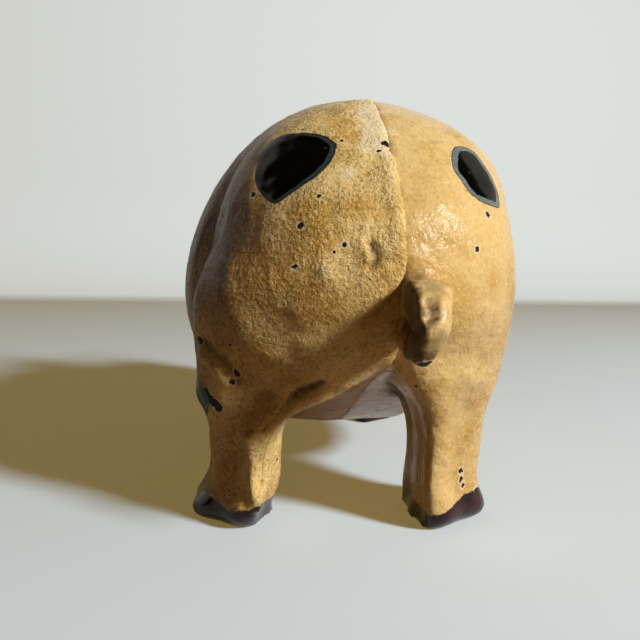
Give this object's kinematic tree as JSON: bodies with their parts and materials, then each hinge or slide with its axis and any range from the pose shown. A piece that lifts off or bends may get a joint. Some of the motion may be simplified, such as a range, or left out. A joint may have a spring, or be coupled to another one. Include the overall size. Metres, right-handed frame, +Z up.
{
  "type": "pig figurine",
  "caption": "Standing spotted pig of painted cast iron, made as two hollow halves that meet on a seam along the back, with a curled tail.",
  "frame": {"origin": "on the floor under the middle of the figurine's box, tail included", "axes": "-Y is where the snout points, +X is the pig's left side, +Z is up"},
  "size_m": [0.0492, 0.1101, 0.06],
  "materials": {
    "painted_iron": "gloss",
    "screw_steel": "satin"
  },
  "bodies": {
    "root": {"left_half": "painted_iron", "right_half": "painted_iron", "assembly_screw": "screw_steel"}
  },
  "joints": []
}
